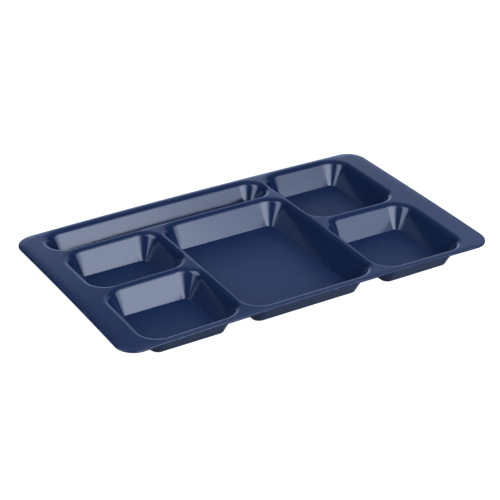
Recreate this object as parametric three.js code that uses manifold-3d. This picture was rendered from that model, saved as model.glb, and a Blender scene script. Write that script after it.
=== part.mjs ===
// Compartment tray: one thin-walled plastic moulding with a crowned deck,
// six sunken wells with sloping walls, and a thin rounded outer edge.
// Millimetres, +Z up, +X along the length, +Y to the rear.
// The origin is on the resting plane, under the middle of the outline.
//
// The moulding is laid out in zones, each a closed body of its own: four rims,
// five dividers and six wells. The zones meet along narrow cuts.
import * as THREE from 'three';
import { mergeVertices } from 'three/addons/utils/BufferGeometryUtils.js';
import Module from 'manifold-3d';

// ---------------------------------------------------------------- dimensions
const LENGTH = 381;            // outline along X
const WIDTH = 228.6;           // outline along Y
const DECK_Z = 25.7;           // deck top above the resting plane, at the middle
const WALL = 1.8;              // wall thickness everywhere
const OUTER_R = 19;            // outline corner radius
const EDGE_R = 0.85;           // rounding of the outer edge, top and bottom
const RIM_H = 2.6;             // height of the thickened outer edge
const BEAD_W = 2.8;            // its width underneath
const BROW_R = 7.1;            // rounding from deck into wall
const BROW_T = 4.22;           // where that rounding leaves the deck, outside the well's edge
const FLOOR_R = 0.8;           // rounding from wall into floor
const FLOOR_CORNER = 5;        // well corner radius on the floor
const CROWN_X = 2.4;           // droop of the deck's ends below its middle
const CROWN_Y = 1.3;           // droop of the deck's long edges below its middle
const CROWN_FOOT = 4;          // the crown fades to nothing at this height
const LIP_DROP = 0.5;          // the outermost edge turns down by this much more
const LIP_REACH = 6;           // width of the strip that turns down
const WARP = 1.0;              // the front left corner hangs and the rear right one lifts by this much
const WARP_FROM = 0.45;        // share of the diagonal, from the middle, where the warp begins
const CUT = 0.3;               // width of the cuts between zones
const ZONE_DROP = 1.0;         // wall below the brow that stays with the deck zones
const CORNER_STEPS = 6;        // facets per well corner

// wells at deck level: left, right, front, rear edges, corner radius, slope of the walls from the vertical in degrees
const WELLS = {
  main_well:        [-65.65, 64.8, -107.0, 64.0, 20, 28.7],
  cutlery_well:     [-166.1, 65.3, 69.5, 107.0, 18.4, 27.2],
  middle_left_well: [-165.2, -72.0, -10.8, 64.4, 20, 28.5],
  front_left_well:  [-165.2, -71.7, -107.0, -16.3, 20, 28.5],
  rear_right_well:  [71.2, 164.6, 1.9, 107.1, 20, 28.5],
  front_right_well: [71.1, 164.9, -107.0, -4.6, 20, 27.4],
};

// ------------------------------------------------------------------ materials
const plastic = () => new THREE.MeshStandardMaterial({ color: 0x24335c, roughness: 0.28, metalness: 0 });

// ------------------------------------------------------------------- outlines
// rounded rectangle, grown outwards by `grow`, with corner radius r there, as a ring of points
function ring([x0, x1, y0, y1], grow, r, steps) {
  const a = x0 - grow, b = x1 + grow, c = y0 - grow, d = y1 + grow;
  const path = new THREE.Path();
  path.absarc(b - r, c + r, r, -Math.PI / 2, 0);
  path.absarc(b - r, d - r, r, 0, Math.PI / 2);
  path.absarc(a + r, d - r, r, Math.PI / 2, Math.PI);
  path.absarc(a + r, c + r, r, Math.PI, 1.5 * Math.PI);
  const pts = [];
  for (const curve of path.curves) {
    if (!(curve instanceof THREE.EllipseCurve)) continue;
    for (const p of curve.getPoints(steps)) pts.push(p);
  }
  return pts;
}

// closed body through a stack of [grow, z] rings, with flat caps at both ends
function loft(rect, radiusAt, stack, steps = CORNER_STEPS) {
  const pos = [], idx = [];
  const rings = stack.map(([grow, z]) => ring(rect, grow, radiusAt(grow), steps).map((p) => [p.x, p.y, z]));
  const n = rings[0].length;
  for (const r of rings) for (const p of r) pos.push(...p);
  for (let k = 0; k + 1 < rings.length; k++) {
    for (let i = 0; i < n; i++) {
      const a = k * n + i, b = k * n + (i + 1) % n, c = a + n, d = b + n;
      idx.push(a, b, d, a, d, c);
    }
  }
  const cap = (k, up) => {
    const contour = rings[k].map(([x, y]) => new THREE.Vector2(x, y));
    for (const [a, b, c] of THREE.ShapeUtils.triangulateShape(contour, [])) {
      if (up) idx.push(k * n + a, k * n + b, k * n + c);
      else idx.push(k * n + a, k * n + c, k * n + b);
    }
  };
  cap(0, false);
  cap(rings.length - 1, true);
  const g = new THREE.BufferGeometry();
  g.setAttribute('position', new THREE.Float32BufferAttribute(pos, 3));
  g.setIndex(idx);
  return g;
}

// upright prism over a plan rectangle
function prism(x0, x1, y0, y1, z0 = -2, z1 = DECK_Z + 20) {
  const s = new THREE.Shape([[x0, y0], [x1, y0], [x1, y1], [x0, y1]].map(([x, y]) => new THREE.Vector2(x, y)));
  return new THREE.ExtrudeGeometry(s, { depth: z1 - z0, bevelEnabled: false }).translate(0, 0, z0);
}

// -------------------------------------------------------------- wall profiles
// Every profile point is [distance outside the well's edge, height].
function section([, , , , radius, draft]) {
  const lean = draft * Math.PI / 180;
  const sin = Math.sin(lean), cos = Math.cos(lean), tan = Math.tan(lean);
  const turn = Math.PI / 2 - lean;                              // deck to wall, and wall to floor
  const browEnd = [BROW_T - BROW_R * cos, DECK_Z - BROW_R + BROW_R * sin];
  const inner = (drop) => [browEnd[0] - drop * sin, browEnd[1] - drop * cos];   // down the inner wall
  const outward = ([d, z], t) => [d + t * cos, z - t * sin];    // straight through the wall
  const floorZ = WALL + FLOOR_R;                                // centre of the floor rounding, inner and outer
  const floorD = browEnd[0] - (browEnd[1] - floorZ) * tan - FLOOR_R / cos;

  // the brow, from the wall up to `stop` radians short of level
  const brow = (r, steps, stop) => Array.from({ length: steps + 1 }, (_, i) => {
    const a = stop + (turn - stop) * (1 - i / steps);
    return [BROW_T - r * Math.sin(a), DECK_Z - BROW_R + r * Math.cos(a)];
  });
  // the floor rounding, from the floor out to the wall
  const floorArc = (r, steps) => Array.from({ length: steps + 1 }, (_, i) => {
    const a = turn * i / steps;
    return [floorD + r * Math.sin(a), floorZ - r * Math.cos(a)];
  });

  // corners tighten with depth, to FLOOR_CORNER on the floor
  const radiusAt = (d) => radius + d - (radius + floorD - FLOOR_CORNER) * (Math.min(d, 0) / floorD) ** 2;

  const wellCut = inner(ZONE_DROP), collarCut = inner(ZONE_DROP - CUT);
  return {
    radiusAt,
    // a well: underside, outer wall, the cut below the brow, inner wall, floor
    well: [
      ...floorArc(FLOOR_R + WALL, 2),
      outward(inner(11), WALL), outward(wellCut, WALL),
      wellCut, inner(11),
      ...floorArc(FLOOR_R, 1).reverse(),
    ],
    // the deck zones' share of the wall: a collar below the deck and the mouth through it
    collar: [
      outward(collarCut, -0.4), outward(collarCut, WALL),
      ...brow(BROW_R - WALL, 3, 0.05), [BROW_T + 0.2, DECK_Z - WALL + 0.8],
    ],
    mouth: [
      inner(ZONE_DROP + 6), ...brow(BROW_R, 4, 0.1),
      [BROW_T + 1.2, DECK_Z + 0.25], [BROW_T + 1.2, DECK_Z + 8],
    ],
  };
}

// -------------------------------------------------------------- joins and cuts
const wasm = await Module();
wasm.setup();

function solid(geometry) {
  let g = geometry.index ? geometry : geometry.clone();
  for (const name of Object.keys(g.attributes)) if (name !== 'position') g.deleteAttribute(name);
  g = mergeVertices(g, 1e-4);
  return new wasm.Manifold(new wasm.Mesh({
    numProp: 3,
    vertProperties: new Float32Array(g.attributes.position.array),
    triVerts: new Uint32Array(g.index.array),
  }));
}
function triangles(body) {
  const m = body.getMesh();
  const pos = [];
  for (let i = 0; i < m.vertProperties.length; i += m.numProp) {
    pos.push([m.vertProperties[i], m.vertProperties[i + 1], m.vertProperties[i + 2]]);
  }
  const tri = [];
  for (let i = 0; i < m.triVerts.length; i += 3) tri.push([m.triVerts[i], m.triVerts[i + 1], m.triVerts[i + 2]]);
  return { pos, tri };
}
const indexed = (g) => ({
  pos: Array.from({ length: g.attributes.position.count }, (_, i) => new THREE.Vector3().fromBufferAttribute(g.attributes.position, i).toArray()),
  tri: Array.from({ length: g.index.count / 3 }, (_, i) => [0, 1, 2].map((k) => g.index.array[3 * i + k])),
});

// ----------------------------------------------------------------- the crown
// Long edges are halved until they follow the crown closely, then every point
// sinks by the crown, fully at deck level and not at all near the floor.
function crowned({ pos, tri }, longest = 75) {
  pos = pos.map((p) => [...p]);
  for (;;) {
    const mid = new Map();
    const key = (a, b) => (a < b ? `${a}_${b}` : `${b}_${a}`);
    for (const t of tri) {
      for (let k = 0; k < 3; k++) {
        const a = t[k], b = t[(k + 1) % 3], id = key(a, b);
        if (mid.has(id)) continue;
        const high = Math.max(pos[a][2], pos[b][2]) > CROWN_FOOT + 0.01;
        const d = Math.hypot(...[0, 1, 2].map((i) => pos[a][i] - pos[b][i]));
        if (high && d > longest) {
          mid.set(id, pos.length);
          pos.push([0, 1, 2].map((i) => (pos[a][i] + pos[b][i]) / 2));
        }
      }
    }
    if (!mid.size) break;
    const next = [];
    for (const t of tri) {
      const m = [0, 1, 2].map((k) => mid.get(key(t[k], t[(k + 1) % 3])));
      const count = m.filter((v) => v !== undefined).length;
      if (count === 0) next.push(t);
      else if (count === 3) next.push([t[0], m[0], m[2]], [m[0], t[1], m[1]], [m[2], m[1], t[2]], m);
      else {
        const k = count === 1 ? m.findIndex((v) => v !== undefined) : (m.findIndex((v) => v === undefined) + 1) % 3;
        const [a, b, c] = [t[k], t[(k + 1) % 3], t[(k + 2) % 3]];
        const ab = m[k], bc = m[(k + 1) % 3];
        if (count === 1) next.push([a, ab, c], [ab, b, c]);
        else next.push([ab, b, bc], [a, ab, bc], [a, bc, c]);
      }
    }
    tri = next;
  }
  for (const p of pos) {
    const share = Math.max(0, (p[2] - CROWN_FOOT) / (DECK_Z - CROWN_FOOT));
    const across = p[0] / LENGTH + p[1] / WIDTH;
    const warp = WARP * Math.sign(across) * (Math.max(0, Math.abs(across) - WARP_FROM) / (1 - WARP_FROM)) ** 2;
    p[2] -= share * (CROWN_X * (2 * p[0] / LENGTH) ** 2 + CROWN_Y * (2 * p[1] / WIDTH) ** 2 - warp);
  }
  const g = new THREE.BufferGeometry();
  g.setAttribute('position', new THREE.Float32BufferAttribute(pos.flat(), 3));
  g.setIndex(tri.flat());
  g.computeVertexNormals();
  return g;
}

// ---------------------------------------------------------------- the object
const tray = new THREE.Group();
function add(name, geometry) {
  const mesh = new THREE.Mesh(geometry, plastic());
  mesh.name = name;
  tray.add(mesh);
}

// six wells
for (const [name, rect] of Object.entries(WELLS)) {
  const { radiusAt, well } = section(rect);
  add(name, crowned(indexed(loft(rect, radiusAt, well))));
}

// the deck: a plate with a rounded edge that turns down, a collar under it around each well, a mouth through it
const outline = [-LENGTH / 2, LENGTH / 2, -WIDTH / 2, WIDTH / 2];
const lip = (d) => LIP_DROP * Math.max(0, 1 + d / LIP_REACH) ** 2;
const edge = (angles, centre) => angles.map((a) => {
  const t = a * Math.PI / 180;
  return [-EDGE_R + EDGE_R * Math.sin(t), centre - EDGE_R * Math.cos(t)];
});
const plate = [
  [-LIP_REACH, DECK_Z - WALL], [-BEAD_W, DECK_Z - WALL],
  ...edge([-40, 0, 45, 90], DECK_Z - RIM_H + EDGE_R), ...edge([90, 135, 180], DECK_Z - EDGE_R),
  [-LIP_REACH / 2, DECK_Z], [-LIP_REACH, DECK_Z],
].map(([d, z]) => [d, z - lip(d)]);
let deck = solid(loft(outline, (d) => OUTER_R + d, plate));
for (const rect of Object.values(WELLS)) deck = deck.add(solid(loft(rect, section(rect).radiusAt, section(rect).collar)));
for (const rect of Object.values(WELLS)) deck = deck.subtract(solid(loft(rect, section(rect).radiusAt, section(rect).mouth)));

// the deck's zones, as plan rectangles that clear the well corners
const FAR = 400, g = CUT / 2;
const XL = -145.2, XR = 144.4, YF = -87, YR = 88.2, REAR_BAR = 44;
const LEFT_BAR = [-92, -45.6], RIGHT_BAR = [44.8, 91.2];
const ZONES = {
  left_rim:            [-FAR, XL - g, -FAR, FAR],
  right_rim:           [XR + g, FAR, -FAR, FAR],
  front_rim:           [XL + g, XR - g, -FAR, YF - g],
  rear_rim:            [XL + g, XR - g, YR + g, FAR],
  left_divider:        [LEFT_BAR[0] + g, LEFT_BAR[1] - g, YF + g, REAR_BAR - g],
  right_divider:       [RIGHT_BAR[0] + g, RIGHT_BAR[1] - g, YF + g, YR - g],
  rear_divider:        [XL + g, RIGHT_BAR[0] - g, REAR_BAR + g, YR - g],
  front_left_divider:  [XL + g, LEFT_BAR[0] - g, YF + g, REAR_BAR - g],
  front_right_divider: [RIGHT_BAR[1] + g, XR - g, YF + g, YR - g],
};
for (const [name, zone] of Object.entries(ZONES)) {
  add(name, crowned(triangles(deck.intersect(solid(prism(...zone))))));
}

export default tray;
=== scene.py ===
import math

import bpy
import numpy as np
from mathutils import Matrix, Vector
from mathutils.geometry import delaunay_2d_cdt


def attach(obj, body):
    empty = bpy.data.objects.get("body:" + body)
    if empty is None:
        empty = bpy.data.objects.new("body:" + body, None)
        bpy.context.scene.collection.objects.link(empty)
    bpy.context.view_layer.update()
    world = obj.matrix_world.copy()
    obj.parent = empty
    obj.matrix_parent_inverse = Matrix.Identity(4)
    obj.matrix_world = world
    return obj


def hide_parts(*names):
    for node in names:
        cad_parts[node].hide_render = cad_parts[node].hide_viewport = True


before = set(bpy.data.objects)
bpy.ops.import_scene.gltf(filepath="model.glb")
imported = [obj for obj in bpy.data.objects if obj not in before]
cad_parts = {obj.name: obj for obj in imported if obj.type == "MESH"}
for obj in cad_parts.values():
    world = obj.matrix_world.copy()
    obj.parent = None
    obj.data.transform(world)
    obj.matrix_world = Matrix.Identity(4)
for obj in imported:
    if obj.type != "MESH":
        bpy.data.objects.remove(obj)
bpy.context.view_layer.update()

scene = bpy.context.scene

# ---------------------------------------------------------------- dimensions
# Millimetres, as in the CAD model. Profiles are given over the distance d outside a well's edge.
LENGTH, WIDTH = 381.0, 228.6
DECK_Z = 25.7
WALL = 1.8
OUTER_R = 19.0
EDGE_R = 0.85
RIM_H, BEAD_W = 2.6, 2.8           # height of the thickened outer edge, and its width underneath
BROW_R, BROW_T = 7.1, 4.22         # rounding from deck to wall, and where it leaves the deck
FLOOR_R = 0.8
FLOOR_CORNER = 5.0                 # the corners tighten to this radius on the floor
CROWN_X, CROWN_Y, CROWN_FOOT = 2.4, 1.3, 4.0
LIP_DROP, LIP_REACH = 0.5, 6.0     # the outermost few millimetres of the flange turn down
WARP, WARP_FROM = 1.0, 0.45        # the front left corner hangs and the rear right one lifts by this much
WELLS = [                # left, right, front, rear edge, corner radius at deck level, draft, corner stretch along x
    (-65.65, 64.8, -107.0, 64.0, 20.0, 28.7, 0.050),
    (-166.1, 65.3, 69.5, 107.0, 18.4, 27.2, 0.015),
    (-165.2, -72.0, -10.8, 64.4, 20.0, 28.5, 0.0),
    (-165.2, -71.7, -107.0, -16.3, 20.0, 28.5, 0.0),
    (71.2, 164.6, 1.9, 107.1, 20.0, 28.5, 0.085),
    (71.1, 164.9, -107.0, -4.6, 20.0, 27.4, -0.050),
]
OUTLINE = (-LENGTH / 2, LENGTH / 2, -WIDTH / 2, WIDTH / 2, OUTER_R, None, 0.0)
UNDER_R = BROW_R - WALL
FLOOR_Z = WALL + FLOOR_R
RIDGE = 2.4          # softness of the ridge where two brows meet
RING_STOP = 1.6      # d of each well's last ring; the deck mesh takes over there


class Section:
    """Cross-section of a well's wall for its draft: brow, straight wall and floor rounding, both faces."""

    def __init__(self, draft):
        a = math.radians(draft)
        self.sin, self.cos, self.tan = math.sin(a), math.cos(a), math.tan(a)
        self.turn = math.pi / 2 - a
        self.top_end = BROW_T - BROW_R * self.cos            # d where the brow runs into the wall
        self.under_end = BROW_T - UNDER_R * self.cos
        self.top_z = DECK_Z - BROW_R + BROW_R * self.sin
        self.under_z = DECK_Z - BROW_R + UNDER_R * self.sin
        self.floor = self.top_end - (self.top_z - FLOOR_Z) * self.tan - FLOOR_R / self.cos   # its rounding's centre


SECTIONS = [Section(w[5]) for w in WELLS]


def tighten(rect, d):
    """How much smaller the corner radius is at distance d than plain offsetting would make it."""
    if rect[5] is None:
        return d * 0
    depth = -SECTIONS[WELLS.index(rect)].floor
    return (rect[4] - depth - FLOOR_CORNER) * (np.minimum(d, 0) / depth) ** 2


# ------------------------------------------------------------------ surfaces
def rounded_distance(x, y, rect, r):
    x0, x1, y0, y1 = rect[:4]
    px, py = np.abs(x - (x0 + x1) / 2) - (x1 - x0) / 2, np.abs(y - (y0 + y1) / 2) - (y1 - y0) / 2
    straight = np.maximum(px, py)
    d = straight
    for _ in range(4 if rect[6] else 2):
        size = np.maximum(r + d, 0.3)
        a, b = size * (1 + rect[6]), size * (1 - rect[6])
        qx, qy = px - d + a, py - d + b
        d = np.where((qx > 0) & (qy > 0), d + (np.hypot(qx / a, qy / b) - 1) * size, straight)
    return d


def well_distance(x, y, rect):
    d = rounded_distance(x, y, rect, rect[4])
    within = d < 0
    if rect[5] is not None and within.any():
        x, y, t = x[within], y[within], d[within]
        for _ in range(8):
            t = rounded_distance(x, y, rect, rect[4] - tighten(rect, t))
        d[within] = t
    return d


def distances(x, y):
    return np.stack([well_distance(x, y, w) for w in WELLS])


def nearest(x, y):
    """Distance to the nearest well, with the ridge between two wells rounded off, and that well's number."""
    every = distances(x, y)
    d = np.sort(every, axis=0)
    h = np.maximum(RIDGE - (d[1] - d[0]), 0) / RIDGE
    return d[0] - h * h * RIDGE / 4, np.argmin(every, axis=0)


def of_well(k, name):
    return np.array([getattr(c, name) for c in SECTIONS])[k]


def top_profile(d, k):
    cos, tan, end, floor = (of_well(k, n) for n in ("cos", "tan", "top_end", "floor"))
    arc = DECK_Z - BROW_R + np.sqrt(np.maximum(BROW_R ** 2 - np.maximum(BROW_T - d, 0) ** 2, 0))
    wall = of_well(k, "top_z") + (d - end) / tan
    base = FLOOR_Z - np.sqrt(np.maximum(FLOOR_R ** 2 - np.maximum(d - floor, 0) ** 2, 0))
    return np.where(d < floor + FLOOR_R * cos, base, np.where(d > end, arc, wall))


def under_profile(d, k):
    cos, tan, end, floor = (of_well(k, n) for n in ("cos", "tan", "under_end", "floor"))
    arc = DECK_Z - BROW_R + np.sqrt(np.maximum(UNDER_R ** 2 - np.maximum(BROW_T - d, 0) ** 2, 0))
    wall = of_well(k, "under_z") + (d - end) / tan
    r = FLOOR_R + WALL
    base = FLOOR_Z - np.sqrt(np.maximum(r ** 2 - np.maximum(d - floor, 0) ** 2, 0))
    return np.where(d < floor + r * cos, base, np.where(d > end, arc, wall))


def crown(x, y, z):
    share = np.maximum(0, (z - CROWN_FOOT) / (DECK_Z - CROWN_FOOT))
    lip = np.maximum(0, 1 + np.minimum(0, well_distance(x, y, OUTLINE)) / LIP_REACH)
    across = x / LENGTH + y / WIDTH
    warp = WARP * np.sign(across) * (np.maximum(0, np.abs(across) - WARP_FROM) / (1 - WARP_FROM)) ** 2
    return z - share * (
        CROWN_X * (2 * x / LENGTH) ** 2 + CROWN_Y * (2 * y / WIDTH) ** 2 + LIP_DROP * lip ** 2 - warp)


def top_z(x, y):
    return crown(x, y, top_profile(*nearest(x, y)))


def under_z(x, y):
    return crown(x, y, under_profile(*nearest(x, y)))


def surface_normals(f, x, y, sign):
    h = 0.01
    gx = (f(x + h, y) - f(x - h, y)) / (2 * h)
    gy = (f(x, y + h) - f(x, y - h)) / (2 * h)
    n = np.stack([-gx, -gy, np.ones_like(gx)], 1) * sign
    return n / np.linalg.norm(n, axis=1, keepdims=True)


# --------------------------------------------------------------------- rings
def spread(a, b, step):
    """Points from a to b, b left out, on a common grid so that facing wells share their places."""
    lo, hi = min(a, b), max(a, b)
    inside = np.arange(math.ceil((lo + step * 0.4) / step) * step, hi - step * 0.4, step)
    if a > b:
        inside = inside[::-1]
    return np.concatenate([[a], inside])


def ring(rect, grow, steps, step):
    """Rounded rectangle as a ring of plan points, counter-clockwise, and each point's outward direction."""
    x0, x1, y0, y1, radius = rect[:5]
    stretch = np.array([1 + rect[6], 1 - rect[6]])
    (a, c), (b, d) = np.array([x0, y0]) + radius * stretch, np.array([x1, y1]) - radius * stretch
    r = (radius + grow - float(tighten(rect, np.float64(grow)))) * stretch
    shift = radius * stretch + grow - r                     # of the corners' centres, outwards
    pts = []
    for cx, cy, start, (ex, ey) in (
        (b, c, -90, (b, d)), (b, d, 0, (a, d)), (a, d, 90, (a, c)), (a, c, 180, (b, c)),
    ):
        mx = cx + shift[0] * (1 if cx == b else -1)
        my = cy + shift[1] * (1 if cy == d else -1)
        for t in np.radians(np.linspace(start, start + 90, steps + 1)[:-1]):
            pts.append((mx + r[0] * math.cos(t), my + r[1] * math.sin(t), math.cos(t), math.sin(t)))
        t = math.radians(start + 90)
        ux, uy = round(math.cos(t)), round(math.sin(t))
        pts.append((mx + r[0] * ux, my + r[1] * uy, ux, uy))
        if abs(ey - cy) > abs(ex - cx):
            pts += [(mx + r[0] * ux, v, ux, uy) for v in spread(cy, ey, step)[1:]]
        else:
            pts += [(v, my + r[1] * uy, ux, uy) for v in spread(cx, ex, step)[1:]]
    p = np.array(pts)
    return p[:, :2], p[:, 2:]


def arc_points(centre_d, r, a0, a1, n):
    a = np.linspace(a0, a1, n + 1)
    return centre_d - r * np.sin(a)


def stations(section, under):
    """Distances of the rings from the deck down to the floor."""
    r = UNDER_R if under else BROW_R
    end = section.under_end if under else section.top_end
    foot = FLOOR_R + WALL if under else FLOOR_R
    wall = np.linspace(end, section.floor + foot * section.cos, 7)
    return np.concatenate([
        arc_points(BROW_T, r, math.asin((BROW_T - RING_STOP) / r), section.turn, 7 if under else 11), wall[1:-1],
        section.floor + foot * np.sin(np.linspace(section.turn, 0, 9 if under else 6)),
        [section.floor - 0.4, section.floor - 1.6],
    ])


CORNER, STEP = 18, 4.0


class Shell:
    """Gathers points, normals and faces of one closed mesh."""

    def __init__(self):
        self.p, self.n, self.f, self.count = [], [], [], 0

    def points(self, p, n):
        first = self.count
        self.p.append(p)
        self.n.append(n)
        self.count += len(p)
        return np.arange(first, self.count)

    def band(self, a, b):
        """Quads between two rings of the same length, b inside a, seen from above."""
        a2, b2 = np.roll(a, -1), np.roll(b, -1)
        self.f += np.stack([a, a2, b2, b], 1).tolist()

    def flip_from(self, mark):
        self.f[mark:] = [q[::-1] for q in self.f[mark:]]


def surface(shell, f, sign, outer_xy, rim):
    """One side of the tray: six wells of rings, and the deck between them as a Delaunay mesh."""
    mark = len(shell.f)
    loops = []
    for rect, section in zip(WELLS, SECTIONS):
        previous = None
        for d in stations(section, sign < 0):
            xy, _ = ring(rect, d, CORNER, STEP)
            x, y = xy[:, 0], xy[:, 1]
            z = f(x, y)
            ids = shell.points(np.stack([x, y, z], 1), surface_normals(f, x, y, sign))
            if previous is None:
                loops.append((xy, ids))
            else:
                shell.band(previous, ids)
            previous = ids
        shell.f.append(previous.tolist())

    # deck points between the rings: rings further out, ridge lines and a loose grid
    taken = {}
    cell = 1.0

    def free(x, y, gap):
        cx, cy = int(x // cell), int(y // cell)
        for i in range(cx - 2, cx + 3):
            for j in range(cy - 2, cy + 3):
                for (u, v) in taken.get((i, j), ()):
                    if (u - x) ** 2 + (v - y) ** 2 < gap * gap:
                        return False
        return True

    def take(x, y):
        taken.setdefault((int(x // cell), int(y // cell)), []).append((x, y))

    coords, origin, edges = [], [], []
    for k, (xy, ids) in enumerate(loops):
        first = len(coords)
        for (x, y), i in zip(xy.tolist(), ids.tolist()):
            coords.append((x, y)); origin.append((k, i)); take(x, y)
        m = len(xy)
        edges += [(first + j, first + (j + 1) % m) for j in range(m)]
    outer_first = len(coords)
    for x, y in outer_xy.tolist():
        coords.append((x, y)); origin.append((-2, None)); take(x, y)
    m = len(outer_xy)
    edges += [(outer_first + j, outer_first + (j + 1) % m) for j in range(m)]

    def inside(x, y, margin):
        qx = abs(x) - (LENGTH / 2 - OUTER_R)
        qy = abs(y) - (WIDTH / 2 - OUTER_R)
        d = math.hypot(max(qx, 0), max(qy, 0)) + min(max(qx, qy), 0) - OUTER_R
        return d < -rim - margin

    extra = []
    for k, rect in enumerate(WELLS):           # ridge lines
        xy, out = ring(rect, 0.0, CORNER, STEP)
        for (x, y), (ux, uy) in zip(xy.tolist(), out.tolist()):
            t = np.arange(RING_STOP + 0.2, 6.0, 0.02)
            d = distances(x + ux * t, y + uy * t)
            own = d[k]
            other = np.min(np.delete(d, k, 0), axis=0)
            hit = np.nonzero(other <= own)[0]
            if len(hit):
                extra.append((x + ux * t[hit[0]], y + uy * t[hit[0]], 0.9))
    for grow in (2.0, 2.4, 2.8, 3.3, 3.9, 4.6, 6.0, 9.0):  # rings further out
        for k, rect in enumerate(WELLS):
            xy, _ = ring(rect, grow, CORNER, STEP)
            d = distances(xy[:, 0], xy[:, 1])
            gap = np.min(np.delete(d, k, 0), axis=0) - d[k]
            extra += [(x, y, 0.3 if grow < 5 else 1.2) for (x, y), g in zip(xy.tolist(), gap) if g > 0.25]
    gx, gy = (v.ravel() for v in np.meshgrid(
        np.arange(-LENGTH / 2 + 4, LENGTH / 2 - 3, 6.0), np.arange(-WIDTH / 2 + 4, WIDTH / 2 - 3, 6.0), indexing="ij"))
    far = nearest(gx, gy)[0] > 5.5                  # loose grid
    extra += [(x, y, 2.0) for x, y in zip(gx[far].tolist(), gy[far].tolist())]
    for x, y, gap in extra:
        if inside(x, y, min(gap, 0.6)) and free(x, y, gap):
            coords.append((x, y)); origin.append((-1, None)); take(x, y)

    xy = np.array(coords)
    new = [i for i, (k, _) in enumerate(origin) if k < 0]
    x, y = xy[new, 0], xy[new, 1]
    ids = shell.points(np.stack([x, y, f(x, y)], 1), surface_normals(f, x, y, sign))
    where = {i: v for i, v in zip(new, ids.tolist())}
    for i, (k, v) in enumerate(origin):
        if k >= 0:
            where[i] = v
    verts, _, tris, source, _, _ = delaunay_2d_cdt([Vector(c) for c in coords], edges, [], 0, 1e-6)
    back = [s[0] for s in source]
    for tri in tris:
        t = [back[v] for v in tri]
        kinds = {origin[v][0] for v in t}
        if len(kinds) == 1 and next(iter(kinds)) >= 0:
            continue                                            # inside a well
        if kinds == {-2}:
            a, b, c = (xy[v] for v in t)
            if not inside(*((a + b + c) / 3), -EDGE_R * 0.2):
                continue
        a, b, c = (xy[v] for v in t)
        if (b[0] - a[0]) * (c[1] - a[1]) - (b[1] - a[1]) * (c[0] - a[0]) < 0:
            t = t[::-1]
        shell.f.append([where[v] for v in t])
    if sign < 0:
        shell.flip_from(mark)
    return np.array([where[outer_first + j] for j in range(m)])


# ------------------------------------------------------------------ the tray
def make_tray():
    shell = Shell()
    rim_xy, rim_out = ring(OUTLINE, -EDGE_R, 26, 4.0)
    bead_xy, _ = ring(OUTLINE, -BEAD_W, 26, 4.0)
    upper = surface(shell, top_z, 1, rim_xy, EDGE_R)
    lower = surface(shell, under_z, -1, bead_xy, BEAD_W)
    previous = upper
    profile = [(a, DECK_Z - EDGE_R) for a in np.linspace(0, math.pi / 2, 7)[1:]]
    profile += [(a, DECK_Z - RIM_H + EDGE_R) for a in np.linspace(math.pi / 2, 1.22 * math.pi, 9)]
    for a, zc in profile:
        r = EDGE_R * math.sin(a)
        xy = rim_xy + rim_out * r
        z = crown(xy[:, 0], xy[:, 1], np.full(len(xy), zc + EDGE_R * math.cos(a)))
        n = np.concatenate([rim_out * math.sin(a), np.full((len(xy), 1), math.cos(a))], 1)
        ids = shell.points(np.concatenate([xy, z[:, None]], 1), n)
        shell.band(ids, previous)
        previous = ids
    shell.band(lower, previous)

    p = np.concatenate(shell.p) * 0.001
    n = np.concatenate(shell.n)
    mesh = bpy.data.meshes.new("tray")
    mesh.from_pydata(p.tolist(), [], shell.f)
    mesh.validate(verbose=False)
    mesh.update()
    mesh.polygons.foreach_set("use_smooth", [True] * len(mesh.polygons))
    if len(mesh.vertices) == len(n):
        mesh.normals_split_custom_set_from_vertices(n.tolist())
    z = p[:, 2] * 1000
    edge = well_distance(p[:, 0] * 1000, p[:, 1] * 1000, OUTLINE)
    for name, share in (
        ("well_floor", np.clip((WALL + 0.5 - z) / 0.4, 0, 1) * (n[:, 2] > 0)),
        ("foot", np.clip((0.6 - z) / 0.5, 0, 1)),
        ("edge", np.clip(1 + edge / 2.5, 0, 1)),
    ):
        mesh.attributes.new(name, "FLOAT", "POINT").data.foreach_set("value", share.astype(np.float32))
    obj = bpy.data.objects.new("tray", mesh)
    scene.collection.objects.link(obj)
    return obj


tray = make_tray()
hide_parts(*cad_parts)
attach(tray, "root")


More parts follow.
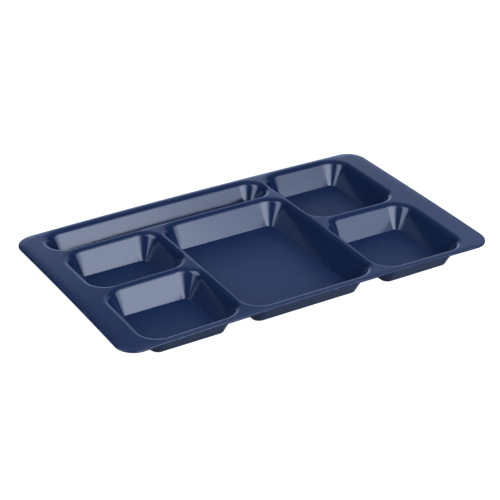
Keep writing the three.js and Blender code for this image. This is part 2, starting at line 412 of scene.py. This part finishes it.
# ------------------------------------------------------------------ material
def plastic():
    """Moulded navy plastic: glossy with a faint orange peel, finely grained on the well floors, where use has left
    hairline scratches, and rubbed a little paler along the outer edge and under the feet."""
    m = bpy.data.materials.new("navy_plastic")
    m.use_nodes = True
    n, k = m.node_tree.nodes, m.node_tree.links
    bsdf = n["Principled BSDF"]
    place = n.new("ShaderNodeTexCoord").outputs["Object"]

    def region(name):
        node = n.new("ShaderNodeAttribute")
        node.attribute_name = name
        return node.outputs["Fac"]

    def noise(scale, detail, stretch=None):
        tex = n.new("ShaderNodeTexNoise")
        tex.inputs["Scale"].default_value = scale
        tex.inputs["Detail"].default_value = detail
        if stretch is None:
            k.new(place, tex.inputs["Vector"])
        else:
            turn, thin = stretch
            along = n.new("ShaderNodeMapping")
            along.inputs["Rotation"].default_value = (0, 0, math.radians(turn))
            along.inputs["Scale"].default_value = (1, thin, 1)
            k.new(place, along.inputs["Vector"])
            k.new(along.outputs["Vector"], tex.inputs["Vector"])
        return tex.outputs["Fac"]

    def ranged(value, low, high, to_low, to_high):
        node = n.new("ShaderNodeMapRange")
        for socket, v in (("From Min", low), ("From Max", high), ("To Min", to_low), ("To Max", to_high)):
            node.inputs[socket].default_value = v
        k.new(value, node.inputs["Value"])
        return node.outputs["Result"]

    def math_node(operation, a, b):
        node = n.new("ShaderNodeMath")
        node.operation = operation
        k.new(a, node.inputs[0])
        k.new(b, node.inputs[1])
        return node.outputs[0]

    def times(a, b):
        return math_node("MULTIPLY", a, b)

    def plus(a, b):
        return math_node("ADD", a, b)

    def mix(share, a, b):
        node = n.new("ShaderNodeMix")
        node.data_type = "RGBA"
        k.new(share, node.inputs["Factor"])
        for socket, v in (("A", a), ("B", b)):
            target = next(i for i in node.inputs if i.name == socket and i.type == "RGBA")
            if isinstance(v, tuple):
                target.default_value = (*v, 1)
            else:
                k.new(v, target)
        return next(o for o in node.outputs if o.type == "RGBA")

    well_floor, foot, edge = region("well_floor"), region("foot"), region("edge")

    # hairline scratches, in three directions
    scratch = None
    for turn, scale in ((18, 26.0), (-37, 21.0), (74, 31.0)):
        line = ranged(noise(scale, 2.0, (turn, 42.0)), 0.655, 0.70, 0.0, 1.0)
        scratch = line if scratch is None else math_node("MAXIMUM", scratch, line)
    worn = times(scratch, well_floor)

    # pigment: broad and fine differences in depth of colour, paler where it is rubbed; the well floors carry painted
    # shade, a darker and more saturated navy
    tone = mix(ranged(noise(14.0, 3.0), 0.3, 0.7, 0, 1), (0.0093, 0.0186, 0.0500), (0.0107, 0.0210, 0.0556))
    tone = mix(ranged(noise(1300.0, 1.0), 0.35, 0.75, 0, 0.5), tone, (0.0112, 0.0218, 0.0568))
    # painted shade: the well floors are coloured a darker, more saturated navy than the same plastic elsewhere
    deep = mix(ranged(noise(14.0, 3.0), 0.3, 0.7, 0, 1), (0.0050, 0.0164, 0.0545), (0.0058, 0.0186, 0.0605))
    tone = mix(well_floor, tone, deep)
    tone = mix(ranged(worn, 0, 1, 0, 0.10), tone, (0.055, 0.075, 0.125))
    rubbed = times(math_node("MAXIMUM", edge, foot), ranged(noise(160.0, 4.0), 0.46, 0.72, 0.0, 0.30))
    tone = mix(rubbed, tone, (0.045, 0.062, 0.110))
    k.new(tone, bsdf.inputs["Base Color"])

    rough = plus(ranged(well_floor, 0, 1, 0.115, 0.42), ranged(noise(60.0, 4.0), 0.3, 0.7, 0.0, 0.035))
    rough = plus(rough, ranged(worn, 0, 1, 0, 0.06))
    rough = plus(rough, ranged(rubbed, 0, 0.30, 0, 0.16))
    k.new(rough, bsdf.inputs["Roughness"])
    bsdf.inputs["IOR"].default_value = 1.5

    # relief: orange peel all over, grain and scratches on the floors
    relief = None
    for height, share, deep in (
        (noise(330.0, 1.5), None, 1.4e-5),
        (noise(2100.0, 2.0), ranged(well_floor, 0, 1, 0.12, 1.0), 3.5e-6),
        (worn, None, -2.5e-6),
    ):
        bump = n.new("ShaderNodeBump")
        bump.inputs["Distance"].default_value = deep
        bump.inputs["Strength"].default_value = 1.0
        if share is not None:
            k.new(share, bump.inputs["Strength"])
        k.new(height, bump.inputs["Height"])
        if relief is not None:
            k.new(relief, bump.inputs["Normal"])
        relief = bump.outputs["Normal"]
    k.new(relief, bsdf.inputs["Normal"])
    return m


tray.data.materials.append(plastic())

# --------------------------------------------------------------------- stage
def plane(name, z, half):
    mesh = bpy.data.meshes.new(name)
    mesh.from_pydata([(-half, -half, z), (half, -half, z), (half, half, z), (-half, half, z)], [], [(0, 1, 2, 3)])
    obj = bpy.data.objects.new(name, mesh)
    scene.collection.objects.link(obj)
    m = bpy.data.materials.new(name)
    m.use_nodes = True
    mesh.materials.append(m)
    return obj, m.node_tree.nodes["Principled BSDF"]


# the pale floor that is seen, and a dimmer table under the tray that its own gloss mirrors
floor, paint = plane("floor", -0.0001, 4.0)
paint.inputs["Base Color"].default_value = (0.35, 0.35, 0.35, 1)
paint.inputs["Roughness"].default_value = 1.0
paint.inputs["Specular IOR Level"].default_value = 0.0
paint.inputs["Emission Color"].default_value = (1, 1, 1, 1)
paint.inputs["Emission Strength"].default_value = 0.95
floor.visible_diffuse = False
floor.visible_glossy = False
floor.visible_shadow = False
table, paint = plane("table", -0.0002, 4.0)
paint.inputs["Base Color"].default_value = (0.33, 0.35, 0.36, 1)
paint.inputs["Roughness"].default_value = 1.0
paint.inputs["Specular IOR Level"].default_value = 0.0
table.visible_camera = False


def panel(name, azimuth, elevation, distance, extent, radiance, tint, falls):
    """Soft rectangular studio light that faces the tray. Its plane is at a distance in metres in the direction of
    azimuth and elevation, and its extent there is left, right, bottom, top. Each fall is a direction in that
    plane, the place along it where the light has the share low, the place where it is full, and low."""
    a, e = math.radians(azimuth), math.radians(elevation)
    out = Vector((math.sin(a) * math.cos(e), -math.cos(a) * math.cos(e), math.sin(e)))
    along = Vector((math.cos(a), math.sin(a), 0))
    up = Vector((-math.sin(a) * math.sin(e), math.cos(a) * math.sin(e), math.cos(e)))
    left, right, bottom, top = extent
    width, height = right - left, top - bottom
    light = bpy.data.lights.new(name, "AREA")
    light.shape = "RECTANGLE"
    light.size, light.size_y = width, height
    light.energy = radiance * 4 * width * height
    light.color = tint
    light.use_nodes = True
    n, k = light.node_tree.nodes, light.node_tree.links
    place = n.new("ShaderNodeNewGeometry")
    total = None
    for (du, dv), none, full, low in falls:
        start = du * left + dv * bottom
        across = n.new("ShaderNodeVectorMath")
        across.operation = "DOT_PRODUCT"
        across.inputs[1].default_value = (du * width, dv * height, 0)
        k.new(place.outputs["Parametric"], across.inputs[0])
        fall = n.new("ShaderNodeMapRange")
        fall.interpolation_type = "SMOOTHSTEP"
        for socket, value in (("From Min", none - start), ("From Max", full - start), ("To Min", low)):
            fall.inputs[socket].default_value = value
        k.new(across.outputs["Value"], fall.inputs["Value"])
        if total is None:
            total = fall.outputs["Result"]
        else:
            both = n.new("ShaderNodeMath")
            both.operation = "MULTIPLY"
            k.new(total, both.inputs[0])
            k.new(fall.outputs["Result"], both.inputs[1])
            total = both.outputs[0]
    k.new(total, n["Emission"].inputs["Strength"])
    o = bpy.data.objects.new(name, light)
    o.location = out * distance + along * (left + right) / 2 + up * (bottom + top) / 2 + Vector((0, 0, 0.015))
    o.rotation_euler = (-out).to_track_quat("-Z", "Y").to_euler()
    o.visible_camera = False
    scene.collection.objects.link(o)
    return o


panel("key", 10, 25, 1.15, (-0.9, 0.55, -0.3, 0.52), 2.2, (0.91, 1.0, 1.17), (
    ((1, 0), -0.9, -0.2, 0.0), ((1, 0), 0.52, 0.22, 0.0), ((0.6, 0.8), 0.36, 0.16, 0.0), ((0, 1), 0.52, 0.36, 0.0)))
panel("fill", 10, 25, 1.16, (-0.9, 1.2, -0.3, 0.9), 2.5, (0.91, 1.04, 1.34), (
    ((1, 0), -0.9, -0.2, 0.0), ((0.6, 0.8), 0.85, 0.35, 0.0)))
panel("left", -97, 38, 1.25, (-0.46, 0.54, -0.46, 0.66), 2.9, (0.86, 1.02, 1.33), (
    ((1, 0), -0.46, -0.10, 0.0), ((1, 0), 0.53, 0.37, 0.0), ((0, 1), 0.66, 0.38, 0.0), ((0, 1), -0.47, -0.30, 0.0)))

world = bpy.data.worlds.new("studio")
scene.world = world
world.use_nodes = True
nodes, links = world.node_tree.nodes, world.node_tree.links


def glow(azimuth, elevation, inner, outer, strength):
    """Soft round glow in the surroundings; azimuth from the front towards the right, in degrees."""
    a, e = math.radians(azimuth), math.radians(elevation)
    dot = nodes.new("ShaderNodeVectorMath")
    dot.operation = "DOT_PRODUCT"
    dot.inputs[1].default_value = (math.sin(a) * math.cos(e), -math.cos(a) * math.cos(e), math.sin(e))
    links.new(coords.outputs["Generated"], dot.inputs[0])
    fade = nodes.new("ShaderNodeMapRange")
    fade.interpolation_type = "SMOOTHSTEP"
    fade.inputs["From Min"].default_value = math.cos(math.radians(outer))
    fade.inputs["From Max"].default_value = math.cos(math.radians(inner))
    fade.inputs["To Max"].default_value = strength
    links.new(dot.outputs["Value"], fade.inputs["Value"])
    return fade.outputs["Result"]


coords = nodes.new("ShaderNodeTexCoord")
total = glow(0, 90, 10, 65, 0.19)
for lobe in (
    (112, 6, 2, 20, 0.68), (130, 24, 2, 20, 0.62), (130, 42, 2, 20, 0.42), (148, 6, 2, 20, 0.80),
    (148, 24, 2, 20, 0.38), (158, 16, 8, 17, 0.70), (166, 6, 2, 20, 0.60), (166, 24, 2, 20, 0.12), (150, 52, 2, 18, 0.50),
):
    add = nodes.new("ShaderNodeMath")
    links.new(total, add.inputs[0])
    links.new(glow(*lobe), add.inputs[1])
    total = add.outputs[0]
background = nodes["Background"]
background.inputs["Color"].default_value = (0.475, 0.60, 0.95, 1)
links.new(total, background.inputs["Strength"])

# -------------------------------------------------------------------- camera
cam_data = bpy.data.cameras.new("camera")
cam_data.sensor_width = 36.0
cam_data.lens = 112.85
cam_data.clip_start, cam_data.clip_end = 0.05, 50
cam = bpy.data.objects.new("camera", cam_data)
right = Vector((0.857017, -0.515274, 0.003715))
down = Vector((-0.243885, -0.411966, -0.877954))
ahead = Vector((0.453917, 0.751516, -0.47873))
rot = Matrix((right, -down, -ahead)).transposed()
place = Vector((-660.069, -1087.856, 680.727 + DECK_Z)) * 0.001
cam.matrix_world = Matrix.Translation(place) @ rot.to_4x4()
scene.collection.objects.link(cam)
scene.camera = cam

scene.view_settings.view_transform = "Standard"
scene.view_settings.look = "None"
